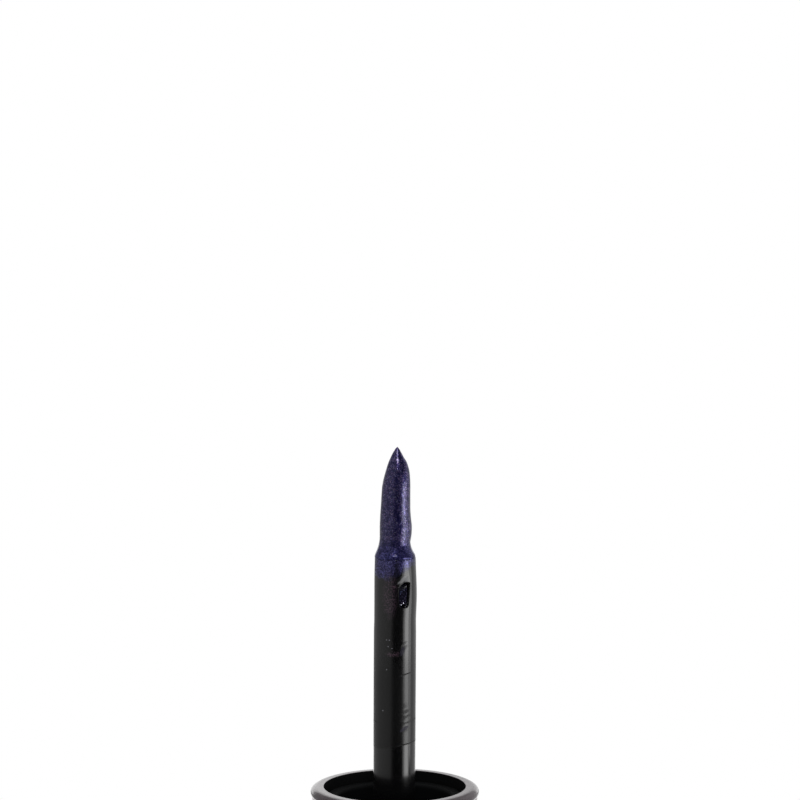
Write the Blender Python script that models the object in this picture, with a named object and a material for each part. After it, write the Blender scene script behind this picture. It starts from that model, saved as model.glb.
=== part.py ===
"""Liquid eyeliner bottle, opened: the cap stands on its closed end with the applicator
wand pointing up, and the bottle stands beside it on the same table.

Metres, +Z up. The origin is the middle of the cap's flat foot, on the wand's axis.
Every round piece is turned with the same number of facets, so nested walls stay apart.
"""

import math

import bmesh
import bpy
from mathutils import Matrix, Vector

MM = 0.001

# Facets, and the gaps left where pieces are pressed, snapped or laid together
ROUND_FACETS = 40
CORNER_FACETS = 3
CURVE_FACETS = 6
FIT_GAP = 0.2 * MM
CUT_OVERRUN = 0.5 * MM
WELD_DISTANCE = 0.001 * MM

# Cap shell, a lacquered cup with a rolled rim round its mouth
CAP_RADIUS = 7.9 * MM
CAP_LENGTH = 60.0 * MM
CAP_WALL = 1.1 * MM
CAP_FLOOR = 1.6 * MM
CAP_LEDGE = 0.9 * MM
CAP_FOOT_ROUND = 0.8 * MM
RIM_PROUD = 0.15 * MM
RIM_HEIGHT = 1.0 * MM
RIM_ROUND = 0.5 * MM
LIP_EDGE_ROUND = 0.12 * MM

# Steel slug pressed into the closed end
WEIGHT_LENGTH = 14.0 * MM
WEIGHT_CHAMFER = 0.6 * MM

# Inner cap, the moulding that screws onto the neck and carries the stem
INNER_CAP_RECESS = 1.0 * MM
INNER_CAP_WALL = 1.15 * MM
INNER_CAP_DEPTH = 13.2 * MM
INNER_CAP_WEB = 1.6 * MM
INNER_CAP_MOUTH_ROUND = 0.3 * MM
BARREL_RELIEF = 0.3 * MM
SPLINE_COUNT = 12
SPLINE_WIDTH = 1.0 * MM
SPLINE_DEPTH = 0.2 * MM
SPLINE_END_MARGIN = 1.2 * MM
SOCKET_WALL = 1.3 * MM
SOCKET_DEPTH = 5.0 * MM
SOCKET_FLOOR = 0.8 * MM

# Foam ring that the neck's rim presses on
GASKET_THICKNESS = 0.8 * MM

# Applicator stem, a gloss rod bored at its tip end
STEM_RADIUS = 1.95 * MM
STEM_BORE_RADIUS = 1.45 * MM
STEM_BORE_DEPTH = 10.0 * MM
STEM_REACH = 22.2 * MM
STEM_END_ROUND = 0.1 * MM
STEM_FLANGE_RADIUS = 2.9 * MM
STEM_FLANGE_THICKNESS = 0.8 * MM
STEM_ROOT_RADIUS = 1.6 * MM
STEM_BARB_PROUD = 0.15 * MM
STEM_BARB_LENGTH = 0.9 * MM
STEM_BARB_COUNT = 3

# Snap window through the stem's wall, turned to the right of the front
WINDOW_WIDTH = 1.15 * MM
WINDOW_HEIGHT = 2.45 * MM
WINDOW_CORNER = 0.4 * MM
WINDOW_BELOW_END = 3.3 * MM
WINDOW_TURN = math.radians(26)

# Tip holder, the plug that snaps into the stem and grips the felt
HOLDER_COLLAR_RADIUS = 1.87 * MM
HOLDER_NOSE_RADIUS = 1.5 * MM
HOLDER_COLLAR_HEIGHT = 0.85 * MM
HOLDER_COLLAR_EDGE = 0.1 * MM
HOLDER_DISH_DROP = 0.15 * MM
HOLDER_SHANK_LENGTH = 8.0 * MM
HOLDER_CHAMFER = 0.3 * MM
NUB_PROUD = 0.35 * MM
NUB_STEP = 0.2 * MM

# Felt nib, a bullet that leans a little towards +X near its point
NIB_ROOT_RADIUS = 1.0 * MM
NIB_BASE_RADIUS = 1.42 * MM
NIB_FLARE = 0.4 * MM
NIB_BELLY_RADIUS = 1.47 * MM
NIB_BELLY_HEIGHT = 1.8 * MM
NIB_WAIST_RADIUS = 1.31 * MM
NIB_WAIST_HEIGHT = 5.35 * MM
NIB_LENGTH = 9.38 * MM
NIB_LEAN = 0.27 * MM
NIB_POINT_POWER = 2.5

# Bottle body: lacquered sleeve, base plug, and the collar that finishes its top
BOTTLE_OFFSET = 28.0 * MM
SLEEVE_RADIUS = CAP_RADIUS
SLEEVE_WALL = 0.9 * MM
SLEEVE_TOP = 41.0 * MM
SLEEVE_EDGE_ROUND = 0.25 * MM
BASE_INSET = 0.3 * MM
BASE_THICKNESS = 1.0 * MM
BASE_EDGE_ROUND = 0.35 * MM
BASE_SPIGOT_HEIGHT = 3.0 * MM
BASE_SPIGOT_WALL = 1.0 * MM
COLLAR_INSET = 0.2 * MM
COLLAR_THICKNESS = 1.0 * MM
COLLAR_EDGE_ROUND = 0.3 * MM
COLLAR_SKIRT_HEIGHT = 1.5 * MM
COLLAR_SKIRT_WALL = 0.6 * MM

# Inner vial with its neck
VIAL_WALL = 0.9 * MM
VIAL_FLOOR = 1.0 * MM
VIAL_FLOOR_ROUND = 1.0 * MM
VIAL_SHOULDER_DROP = 3.5 * MM
VIAL_SHOULDER_RISE = 2.2 * MM
NECK_RADIUS = 4.6 * MM
NECK_BORE_RADIUS = 3.7 * MM
NECK_RIM_ROUND = 0.2 * MM
STOP_BEAD_PROUD = 0.7 * MM
STOP_BEAD_HEIGHT = 0.8 * MM
STOP_BEAD_ROUND = 0.2 * MM
CLOSED_GAP = 0.3 * MM

# Wiper, the soft sleeve in the neck that strips the stem
WIPER_FLANGE_OVERLAP = 0.75 * MM
WIPER_FLANGE_THICKNESS = 0.6 * MM
WIPER_WALL = 0.5 * MM
WIPER_LENGTH = 8.0 * MM
WIPER_CONE_HEIGHT = 2.2 * MM
WIPER_SQUEEZE = 0.15 * MM
WIPER_LIP_WALL = 0.3 * MM
WIPER_ENTRY_CHAMFER = 0.3 * MM

# Loose ball that stirs the glitter
BALL_RADIUS = 2.2 * MM
BALL_RINGS = 10
BALL_FACETS = 20

# Places up the wand's axis, from the cap's foot at zero
cap_bore = CAP_RADIUS - CAP_WALL
inner_cap_top = CAP_LENGTH - INNER_CAP_RECESS
inner_cap_radius = cap_bore - FIT_GAP
thread_bore = inner_cap_radius - INNER_CAP_WALL
web_face = inner_cap_top - INNER_CAP_DEPTH
web_back = web_face - INNER_CAP_WEB
socket_bore = STEM_ROOT_RADIUS + STEM_BARB_PROUD + FIT_GAP
flange_seat = web_face + FIT_GAP
gasket_face = web_face + FIT_GAP + GASKET_THICKNESS
stem_end = CAP_LENGTH + STEM_REACH
window_height = stem_end - WINDOW_BELOW_END
holder_seat = stem_end + FIT_GAP
holder_shank_radius = STEM_BORE_RADIUS - FIT_GAP
holder_rim = holder_seat + HOLDER_COLLAR_HEIGHT
nib_pivot = holder_rim + HOLDER_DISH_DROP
nib_socket_radius = NIB_ROOT_RADIUS + FIT_GAP

# Places up the bottle's axis, from the table at zero
sleeve_bore = SLEEVE_RADIUS - SLEEVE_WALL
sleeve_foot = BASE_THICKNESS + FIT_GAP
spigot_top = BASE_THICKNESS + BASE_SPIGOT_HEIGHT
vial_foot = spigot_top + FIT_GAP
vial_radius = sleeve_bore - FIT_GAP
vial_floor = vial_foot + VIAL_FLOOR
collar_seat = SLEEVE_TOP + FIT_GAP
collar_top = collar_seat + COLLAR_THICKNESS
shoulder_foot = SLEEVE_TOP - VIAL_SHOULDER_DROP
shoulder_top = shoulder_foot + VIAL_SHOULDER_RISE
bead_foot = collar_top + FIT_GAP
wiper_top = collar_top + CLOSED_GAP + CAP_LENGTH - gasket_face
wiper_seat = wiper_top - WIPER_FLANGE_THICKNESS
neck_top = wiper_seat - FIT_GAP
wiper_radius = NECK_BORE_RADIUS - FIT_GAP
wiper_tube_end = wiper_seat - WIPER_LENGTH
wiper_lip_end = wiper_tube_end - WIPER_CONE_HEIGHT


def clear_scene():
    """Start from an empty scene."""
    for item in list(bpy.data.objects):
        bpy.data.objects.remove(item, do_unlink=True)


def finish(name, colour, roughness, metallic=0.0):
    """A plain surface of one colour, gloss and metalness."""
    material = bpy.data.materials.new(name)
    material.use_nodes = True
    surface = material.node_tree.nodes["Principled BSDF"]
    surface.inputs["Base Color"].default_value = (*colour, 1.0)
    surface.inputs["Roughness"].default_value = roughness
    surface.inputs["Metallic"].default_value = metallic
    return material


def frame_at(name, place):
    """An empty that carries the pieces which move together."""
    empty = bpy.data.objects.new(name, None)
    empty.location = place
    bpy.context.collection.objects.link(empty)
    return empty


def piece_from(name, mesh_builder, parent, material=None, place=(0, 0, 0)):
    """Link a mesh as a named piece that rides on its parent frame."""
    bmesh.ops.recalc_face_normals(mesh_builder, faces=mesh_builder.faces)
    mesh = bpy.data.meshes.new(name)
    mesh_builder.to_mesh(mesh)
    mesh_builder.free()
    piece = bpy.data.objects.new(name, mesh)
    piece.parent = parent
    piece.location = place
    bpy.context.collection.objects.link(piece)
    if material:
        mesh.materials.append(material)
        mesh.shade_smooth()
        mesh.set_sharp_from_angle(angle=math.radians(35))
    return piece


def cutter_from(name, mesh_builder, parent):
    """A guide shape for a Boolean, kept out of the model."""
    guide = piece_from(name, mesh_builder, parent)
    guide.hide_render = True
    guide.display_type = "WIRE"
    return guide


def combine(piece, guide, operation):
    """Cut a guide shape out of a piece, or fuse it on."""
    step = piece.modifiers.new(operation.lower(), "BOOLEAN")
    step.operation = operation
    step.solver = "EXACT"
    step.object = guide


def rounded(corners):
    """An outline through (radius, height) corners. A third value rounds its corner."""
    outline = []
    for index, corner in enumerate(corners):
        here = Vector(corner[:2])
        if len(corner) < 3:
            outline.append(here)
            continue
        towards_last = (Vector(corners[index - 1][:2]) - here).normalized()
        towards_next = (Vector(corners[(index + 1) % len(corners)][:2]) - here).normalized()
        half_angle = towards_last.angle(towards_next) / 2
        reach = corner[2] / math.tan(half_angle)
        middle = (towards_last + towards_next).normalized()
        centre = here + middle * corner[2] / math.sin(half_angle)
        first = here + towards_last * reach - centre
        last = here + towards_next * reach - centre
        first_angle = math.atan2(first.y, first.x)
        sweep = math.remainder(math.atan2(last.y, last.x) - first_angle, 2 * math.pi)
        for step in range(CORNER_FACETS + 1):
            angle = first_angle + sweep * step / CORNER_FACETS
            outline.append(centre + corner[2] * Vector((math.cos(angle), math.sin(angle))))
    return outline


def revolve(outline, facets=ROUND_FACETS):
    """Spin an outline of (radius, height) points about the Z axis into one closed skin.

    An outline that starts and ends on the axis is left open there; any other closes on itself.
    """
    shape = bmesh.new()
    points = [shape.verts.new((radius, 0, height)) for radius, height in outline]
    edges = [shape.edges.new(pair) for pair in zip(points, points[1:])]
    if outline[0][0] > 0 or outline[-1][0] > 0:
        edges.append(shape.edges.new((points[-1], points[0])))
    bmesh.ops.spin(
        shape, geom=points + edges, cent=(0, 0, 0), axis=(0, 0, 1), angle=2 * math.pi,
        steps=facets, use_merge=True,
    )
    bmesh.ops.remove_doubles(shape, verts=shape.verts, dist=WELD_DISTANCE)
    return shape


def slab(outline, thickness, stand):
    """Extrude a flat outline of (across, up) points by a thickness, then stand it in place."""
    shape = bmesh.new()
    face = shape.faces.new([shape.verts.new((across, 0, up)) for across, up in outline])
    sweep = bmesh.ops.extrude_face_region(shape, geom=[face])
    moved = [item for item in sweep["geom"] if isinstance(item, bmesh.types.BMVert)]
    bmesh.ops.translate(shape, verts=moved, vec=(0, thickness, 0))
    bmesh.ops.transform(shape, matrix=stand, verts=shape.verts)
    return shape


def eased(first, last, share):
    """A value between two others that leaves and arrives level."""
    return first + (last - first) * (1 - math.cos(math.pi * share)) / 2


def make_cap_shell(frame, lacquer):
    rim_radius = CAP_RADIUS + RIM_PROUD
    ledge_bore = cap_bore - CAP_LEDGE
    outline = rounded([
        (0, 0),
        (CAP_RADIUS, 0, CAP_FOOT_ROUND),
        (CAP_RADIUS, CAP_LENGTH - RIM_HEIGHT),
        (rim_radius, CAP_LENGTH - RIM_ROUND),
        (rim_radius, CAP_LENGTH, RIM_ROUND - LIP_EDGE_ROUND),
        (cap_bore, CAP_LENGTH, LIP_EDGE_ROUND),
        (cap_bore, web_back - FIT_GAP),
        (ledge_bore, web_back - FIT_GAP),
        (ledge_bore, CAP_FLOOR),
        (0, CAP_FLOOR),
    ])
    return piece_from("cap_shell", revolve(outline), frame, lacquer)


def make_cap_weight(frame, steel):
    radius = cap_bore - CAP_LEDGE - FIT_GAP
    foot = CAP_FLOOR + FIT_GAP
    top = foot + WEIGHT_LENGTH
    outline = [
        (0, foot),
        (radius - WEIGHT_CHAMFER, foot),
        (radius, foot + WEIGHT_CHAMFER),
        (radius, top - WEIGHT_CHAMFER),
        (radius - WEIGHT_CHAMFER, top),
        (0, top),
    ]
    return piece_from("cap_weight", revolve(outline), frame, steel)


def make_inner_cap(frame, black_plastic):
    """Threaded moulding: a skirt, a web, the stem's blind socket, and splines that grip."""
    barrel_radius = inner_cap_radius - BARREL_RELIEF
    boss_radius = socket_bore + SOCKET_WALL
    boss_end = web_face - SOCKET_DEPTH - SOCKET_FLOOR
    outline = rounded([
        (0, boss_end),
        (boss_radius, boss_end, INNER_CAP_MOUTH_ROUND),
        (boss_radius, web_back),
        (barrel_radius, web_back),
        (barrel_radius, inner_cap_top - SPLINE_END_MARGIN),
        (inner_cap_radius, inner_cap_top - SPLINE_END_MARGIN),
        (inner_cap_radius, inner_cap_top),
        (thread_bore, inner_cap_top, INNER_CAP_MOUTH_ROUND),
        (thread_bore, web_face),
        (socket_bore, web_face),
        (socket_bore, web_face - SOCKET_DEPTH),
        (0, web_face - SOCKET_DEPTH),
    ])
    inner_cap = piece_from("inner_cap", revolve(outline), frame, black_plastic)
    splines = bmesh.new()
    spline_foot = web_back + SPLINE_END_MARGIN
    spline_top = inner_cap_top - SPLINE_END_MARGIN + CUT_OVERRUN
    tallest = (spline_top - spline_foot) / 2
    inner_face = barrel_radius - CUT_OVERRUN
    outer_face = barrel_radius + SPLINE_DEPTH
    for index in range(SPLINE_COUNT):
        turn = Matrix.Rotation(2 * math.pi * index / SPLINE_COUNT, 4, "Z")
        size = Matrix.Diagonal((outer_face - inner_face, SPLINE_WIDTH, 2 * tallest, 1))
        middle = Vector(((inner_face + outer_face) / 2, 0, spline_foot + tallest))
        bmesh.ops.create_cube(splines, size=1, matrix=turn @ Matrix.Translation(middle) @ size)
    guide = cutter_from("inner_cap_splines", splines, frame)
    combine(inner_cap, guide, "UNION")
    return inner_cap


def make_seal_gasket(frame, foam):
    inner = STEM_FLANGE_RADIUS + FIT_GAP
    outer = thread_bore - FIT_GAP
    seat = web_face + FIT_GAP
    outline = [(inner, seat), (outer, seat), (outer, gasket_face), (inner, gasket_face)]
    return piece_from("seal_gasket", revolve(outline), frame, foam)


def make_stem(frame, gloss_black):
    """Rod with a barbed root in the inner cap, a flange on its web, and a bored tip end."""
    barb_radius = STEM_ROOT_RADIUS + STEM_BARB_PROUD
    barb_foot = web_face - SOCKET_DEPTH + FIT_GAP
    corners = [(0, barb_foot), (STEM_ROOT_RADIUS, barb_foot)]
    for index in range(STEM_BARB_COUNT):
        foot = barb_foot + STEM_BARB_LENGTH * (1 + index)
        corners.append((barb_radius, foot))
        corners.append((STEM_ROOT_RADIUS, foot))
    corners += [
        (STEM_ROOT_RADIUS, flange_seat),
        (STEM_FLANGE_RADIUS, flange_seat),
        (STEM_FLANGE_RADIUS, flange_seat + STEM_FLANGE_THICKNESS),
        (STEM_RADIUS, flange_seat + STEM_FLANGE_THICKNESS),
        (STEM_RADIUS, stem_end, STEM_END_ROUND),
        (STEM_BORE_RADIUS, stem_end),
        (STEM_BORE_RADIUS, stem_end - STEM_BORE_DEPTH),
        (0, stem_end - STEM_BORE_DEPTH),
    ]
    stem = piece_from("applicator_stem", revolve(rounded(corners)), frame, gloss_black)
    guide = cutter_from("stem_window_cutter", window_block(), frame)
    combine(stem, guide, "DIFFERENCE")
    return stem


def towards_window(distance):
    """Turn a slab drawn facing the front so that it faces the window, this far from the axis."""
    turn = Matrix.Rotation(WINDOW_TURN, 4, "Z")
    return turn @ Matrix.Translation((0, -distance, window_height))


def window_block():
    """Round-cornered block that cuts the window through the stem's wall."""
    half_width = WINDOW_WIDTH / 2
    half_height = WINDOW_HEIGHT / 2
    outline = rounded([
        (-half_width, -half_height, WINDOW_CORNER),
        (half_width, -half_height, WINDOW_CORNER),
        (half_width, half_height, WINDOW_CORNER),
        (-half_width, half_height, WINDOW_CORNER),
    ])
    outer = STEM_RADIUS + CUT_OVERRUN
    return slab(outline, outer - STEM_BORE_RADIUS + CUT_OVERRUN, towards_window(outer))


def make_tip_holder(frame, gloss_black):
    """Plug with a coned collar, a round dish for the felt's root, and the snap nub."""
    shank_end = holder_seat - HOLDER_SHANK_LENGTH
    corners = [
        (0, shank_end),
        (holder_shank_radius - HOLDER_CHAMFER, shank_end),
        (holder_shank_radius, shank_end + HOLDER_CHAMFER),
        (holder_shank_radius, holder_seat),
        (HOLDER_COLLAR_RADIUS, holder_seat),
        (HOLDER_COLLAR_RADIUS, holder_seat + HOLDER_COLLAR_EDGE),
        (HOLDER_NOSE_RADIUS, holder_rim),
    ]
    rim_angle = math.asin(HOLDER_DISH_DROP / nib_socket_radius)
    for step in range(CURVE_FACETS):
        angle = rim_angle + (math.pi / 2 - rim_angle) * step / CURVE_FACETS
        across = nib_socket_radius * math.cos(angle)
        corners.append((across, nib_pivot - nib_socket_radius * math.sin(angle)))
    corners.append((0, nib_pivot - nib_socket_radius))
    holder = piece_from("tip_holder", revolve(rounded(corners)), frame, gloss_black)
    guide = cutter_from("tip_holder_nub", nub_wedge(), frame)
    combine(holder, guide, "UNION")
    return holder


def nub_wedge():
    """Barb that stands in the window: a ramp that climbs downwards to a square catch."""
    half_height = WINDOW_HEIGHT / 2 - FIT_GAP
    width = WINDOW_WIDTH - 2 * FIT_GAP
    crest = holder_shank_radius + NUB_PROUD
    inside = holder_shank_radius - CUT_OVERRUN
    outline = [
        (inside, -half_height),
        (crest, -half_height),
        (crest, -half_height + NUB_STEP),
        (holder_shank_radius + NUB_STEP, half_height),
        (inside, half_height),
    ]
    sideways = Matrix.Rotation(WINDOW_TURN - math.pi / 2, 4, "Z")
    middle = Matrix.Translation((0, -width / 2, 0))
    return slab(outline, width, Matrix.Translation((0, 0, window_height)) @ sideways @ middle)


def nib_outline():
    """Bullet outline from the round root below the pivot up to the point."""
    outline = [Vector((0, -NIB_ROOT_RADIUS))]
    for step in range(1, CURVE_FACETS + 1):
        angle = math.pi / 2 * (step / CURVE_FACETS - 1)
        outline.append(NIB_ROOT_RADIUS * Vector((math.cos(angle), math.sin(angle))))
    outline.append(Vector((NIB_BASE_RADIUS, NIB_FLARE)))
    outline.append(Vector((NIB_BELLY_RADIUS, NIB_BELLY_HEIGHT)))
    for step in range(1, CURVE_FACETS + 1):
        share = step / CURVE_FACETS
        radius = eased(NIB_BELLY_RADIUS, NIB_WAIST_RADIUS, share)
        height = NIB_BELLY_HEIGHT + (NIB_WAIST_HEIGHT - NIB_BELLY_HEIGHT) * share
        outline.append(Vector((radius, height)))
    point_steps = 2 * CURVE_FACETS
    for step in range(1, point_steps):
        share = math.sin(math.pi / 2 * step / point_steps)
        radius = NIB_WAIST_RADIUS * (1 - share ** NIB_POINT_POWER)
        height = NIB_WAIST_HEIGHT + (NIB_LENGTH - NIB_WAIST_HEIGHT) * share
        outline.append(Vector((radius, height)))
    outline.append(Vector((0, NIB_LENGTH)))
    return outline


def make_felt_nib(frame, felt):
    """The nib turns about its pivot, so its own origin is there."""
    shape = revolve(nib_outline())
    for vertex in shape.verts:
        if vertex.co.z > NIB_BELLY_HEIGHT:
            share = (vertex.co.z - NIB_BELLY_HEIGHT) / (NIB_LENGTH - NIB_BELLY_HEIGHT)
            vertex.co.x += eased(0, NIB_LEAN, share)
    return piece_from("felt_nib", shape, frame, felt, (0, 0, nib_pivot))


def make_bottle_sleeve(frame, lacquer):
    outline = rounded([
        (sleeve_bore, sleeve_foot),
        (SLEEVE_RADIUS, sleeve_foot, SLEEVE_EDGE_ROUND),
        (SLEEVE_RADIUS, SLEEVE_TOP, SLEEVE_EDGE_ROUND),
        (sleeve_bore, SLEEVE_TOP),
    ])
    return piece_from("bottle_sleeve", revolve(outline), frame, lacquer)


def make_bottle_base(frame, black_plastic):
    spigot_radius = sleeve_bore - FIT_GAP
    spigot_inner = spigot_radius - BASE_SPIGOT_WALL
    outline = rounded([
        (0, 0),
        (SLEEVE_RADIUS - BASE_INSET, 0, BASE_EDGE_ROUND),
        (SLEEVE_RADIUS - BASE_INSET, BASE_THICKNESS),
        (spigot_radius, BASE_THICKNESS),
        (spigot_radius, spigot_top),
        (spigot_inner, spigot_top),
        (spigot_inner, BASE_THICKNESS),
        (0, BASE_THICKNESS),
    ])
    return piece_from("bottle_base", revolve(outline), frame, black_plastic)


def make_inner_vial(frame, black_plastic):
    """Vial body, coned shoulder, neck and stop bead, one wall all the way up."""
    bore = vial_radius - VIAL_WALL
    bead_radius = NECK_RADIUS + STOP_BEAD_PROUD
    bead_top = bead_foot + STOP_BEAD_HEIGHT
    outline = rounded([
        (0, vial_foot),
        (vial_radius, vial_foot, VIAL_FLOOR_ROUND),
        (vial_radius, shoulder_foot),
        (NECK_RADIUS, shoulder_top),
        (NECK_RADIUS, bead_foot),
        (bead_radius, bead_foot, STOP_BEAD_ROUND),
        (bead_radius, bead_top, STOP_BEAD_ROUND),
        (NECK_RADIUS, bead_top),
        (NECK_RADIUS, neck_top, NECK_RIM_ROUND),
        (NECK_BORE_RADIUS, neck_top),
        (NECK_BORE_RADIUS, shoulder_top - VIAL_WALL),
        (bore, shoulder_foot - VIAL_WALL),
        (bore, vial_floor, VIAL_FLOOR_ROUND),
        (0, vial_floor),
    ])
    return piece_from("inner_vial", revolve(outline), frame, black_plastic)


def make_neck_collar(frame, satin_metal):
    inner = NECK_RADIUS + FIT_GAP
    skirt_radius = sleeve_bore - FIT_GAP
    skirt_inner = skirt_radius - COLLAR_SKIRT_WALL
    skirt_foot = collar_seat - COLLAR_SKIRT_HEIGHT
    outer = SLEEVE_RADIUS - COLLAR_INSET
    outline = rounded([
        (inner, collar_seat),
        (skirt_inner, collar_seat),
        (skirt_inner, skirt_foot),
        (skirt_radius, skirt_foot),
        (skirt_radius, collar_seat),
        (outer, collar_seat),
        (outer, collar_top, COLLAR_EDGE_ROUND),
        (inner, collar_top),
    ])
    return piece_from("neck_collar", revolve(outline), frame, satin_metal)


def make_wiper(frame, soft_plastic):
    """Flange on the neck's rim, a thin sleeve, and a cone that ends in the wiping lip."""
    flange_radius = NECK_BORE_RADIUS + WIPER_FLANGE_OVERLAP
    bore = wiper_radius - WIPER_WALL
    orifice = STEM_RADIUS - WIPER_SQUEEZE
    outline = [
        (flange_radius, wiper_seat),
        (flange_radius, wiper_top),
        (bore + WIPER_ENTRY_CHAMFER, wiper_top),
        (bore, wiper_top - WIPER_ENTRY_CHAMFER),
        (bore, wiper_tube_end),
        (orifice, wiper_lip_end),
        (orifice + WIPER_LIP_WALL, wiper_lip_end),
        (wiper_radius, wiper_tube_end),
        (wiper_radius, wiper_seat),
    ]
    return piece_from("wiper", revolve(outline), frame, soft_plastic)


def make_mixing_ball(frame, steel):
    """Ball that lies on the vial's floor and rattles up its axis when the bottle is shaken."""
    shape = bmesh.new()
    bmesh.ops.create_uvsphere(
        shape, u_segments=BALL_FACETS, v_segments=BALL_RINGS, radius=BALL_RADIUS,
    )
    place = (0, 0, vial_floor + FIT_GAP + BALL_RADIUS)
    return piece_from("mixing_ball", shape, frame, steel, place)


clear_scene()
plum_lacquer = finish("plum_lacquer", (0.060, 0.046, 0.052), 0.16, 0.35)
black_gloss = finish("black_gloss", (0.012, 0.012, 0.013), 0.14)
black_moulding = finish("black_moulding", (0.010, 0.010, 0.011), 0.42)
wet_felt = finish("wet_felt", (0.020, 0.016, 0.085), 0.30)
pale_foam = finish("pale_foam", (0.72, 0.72, 0.69), 0.85)
soft_natural = finish("soft_natural", (0.62, 0.62, 0.60), 0.40)
satin_plum_metal = finish("satin_plum_metal", (0.110, 0.088, 0.098), 0.32, 0.9)
bright_steel = finish("bright_steel", (0.62, 0.62, 0.64), 0.22, 1.0)

applicator = frame_at("applicator_frame", (0, 0, 0))
make_cap_shell(applicator, plum_lacquer)
make_cap_weight(applicator, bright_steel)
make_inner_cap(applicator, black_moulding)
make_seal_gasket(applicator, pale_foam)
make_stem(applicator, black_gloss)
make_tip_holder(applicator, black_gloss)
make_felt_nib(applicator, wet_felt)

bottle = frame_at("bottle_frame", (BOTTLE_OFFSET, 0, 0))
make_bottle_base(bottle, black_moulding)
make_bottle_sleeve(bottle, plum_lacquer)
make_inner_vial(bottle, black_moulding)
make_neck_collar(bottle, satin_plum_metal)
make_wiper(bottle, soft_natural)
make_mixing_ball(bottle, bright_steel)
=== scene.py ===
import math

import bmesh
import bpy
from mathutils import Matrix, Vector, noise


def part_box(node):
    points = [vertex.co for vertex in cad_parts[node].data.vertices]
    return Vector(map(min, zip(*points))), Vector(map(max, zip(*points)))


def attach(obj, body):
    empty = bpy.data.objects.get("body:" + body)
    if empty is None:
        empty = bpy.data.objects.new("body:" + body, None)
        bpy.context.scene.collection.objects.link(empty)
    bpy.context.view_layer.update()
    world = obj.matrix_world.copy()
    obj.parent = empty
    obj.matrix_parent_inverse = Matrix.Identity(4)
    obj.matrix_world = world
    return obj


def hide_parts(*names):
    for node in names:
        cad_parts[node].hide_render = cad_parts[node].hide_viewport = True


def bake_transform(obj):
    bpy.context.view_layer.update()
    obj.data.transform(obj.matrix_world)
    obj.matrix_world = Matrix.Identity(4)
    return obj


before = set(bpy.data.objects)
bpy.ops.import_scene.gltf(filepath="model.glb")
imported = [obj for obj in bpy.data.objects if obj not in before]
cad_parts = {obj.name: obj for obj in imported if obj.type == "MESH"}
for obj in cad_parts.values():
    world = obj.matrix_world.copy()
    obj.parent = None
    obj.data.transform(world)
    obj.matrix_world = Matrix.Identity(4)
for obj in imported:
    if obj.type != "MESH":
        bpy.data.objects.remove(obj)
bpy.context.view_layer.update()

# Cap shell: the deep cup that closes the bottle and serves as the wand's handle. A black moulding
# lacquered dark plum pearl outside, its mouth turned outwards into a flat lip with a bead below.
MM = 0.001


def measured(node):
    """A round CAD node's foot, top, radius and its axis' place along the table, in millimetres."""
    low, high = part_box(node)
    return low.z / MM, high.z / MM, (high.y - low.y) / 2 / MM, (low.x + high.x) / 2 / MM


def rounded(corners, steps=6, hold=0.06):
    """An outline through (radius, height) corners; a third value rounds that corner.

    Long straight runs get a point close to each end, which keeps their shading flat.
    """
    outline = []
    for index, corner in enumerate(corners):
        here = Vector(corner[:2])
        if len(corner) < 3:
            outline.append(here)
            continue
        towards_last = (Vector(corners[index - 1][:2]) - here).normalized()
        towards_next = (Vector(corners[(index + 1) % len(corners)][:2]) - here).normalized()
        half_angle = towards_last.angle(towards_next) / 2
        reach = corner[2] / math.tan(half_angle)
        centre = here + (towards_last + towards_next).normalized() * corner[2] / math.sin(half_angle)
        first = here + towards_last * reach - centre
        last = here + towards_next * reach - centre
        first_angle = math.atan2(first.y, first.x)
        sweep = math.remainder(math.atan2(last.y, last.x) - first_angle, 2 * math.pi)
        for step in range(steps + 1):
            angle = first_angle + sweep * step / steps
            outline.append(centre + corner[2] * Vector((math.cos(angle), math.sin(angle))))
    held = []
    for index, here in enumerate(outline):
        held.append(here)
        following = outline[(index + 1) % len(outline)]
        run = following - here
        closing = index == len(outline) - 1
        if run.length > 4 * hold and not (closing and here.x < 1e-6):
            held.append(here + run.normalized() * hold)
            held.append(following - run.normalized() * hold)
    return held


def in_scene(name, data):
    """A new object in the scene."""
    made = bpy.data.objects.new(name, data)
    bpy.context.scene.collection.objects.link(made)
    return made


def smooth_faces(piece, crease):
    """Shade smoothly over every edge that turns by less than this many degrees."""
    piece.data.shade_smooth()
    piece.data.set_sharp_from_angle(angle=math.radians(crease))


def piece_from(name, shape, material, crease=38):
    """Close up a mesh made in millimetres, give it its finish and place it in the frame's metres."""
    bmesh.ops.remove_doubles(shape, verts=shape.verts, dist=1e-5)
    bmesh.ops.recalc_face_normals(shape, faces=shape.faces)
    bmesh.ops.scale(shape, vec=(MM, MM, MM), verts=shape.verts)
    mesh = bpy.data.meshes.new(name)
    shape.to_mesh(mesh)
    shape.free()
    mesh.materials.append(material)
    piece = in_scene(name, mesh)
    smooth_faces(piece, crease)
    return piece


def band(shape, lower, upper):
    """Fill the band between two rings of points. A ring of one point closes it to a cone."""
    facets = max(len(lower), len(upper))
    for index in range(facets):
        following = (index + 1) % facets
        corners = [
            lower[index % len(lower)],
            lower[following % len(lower)],
            upper[following % len(upper)],
            upper[index % len(upper)],
        ]
        corners = list(dict.fromkeys(corners))
        if len(corners) > 2:
            shape.faces.new(corners)


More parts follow.
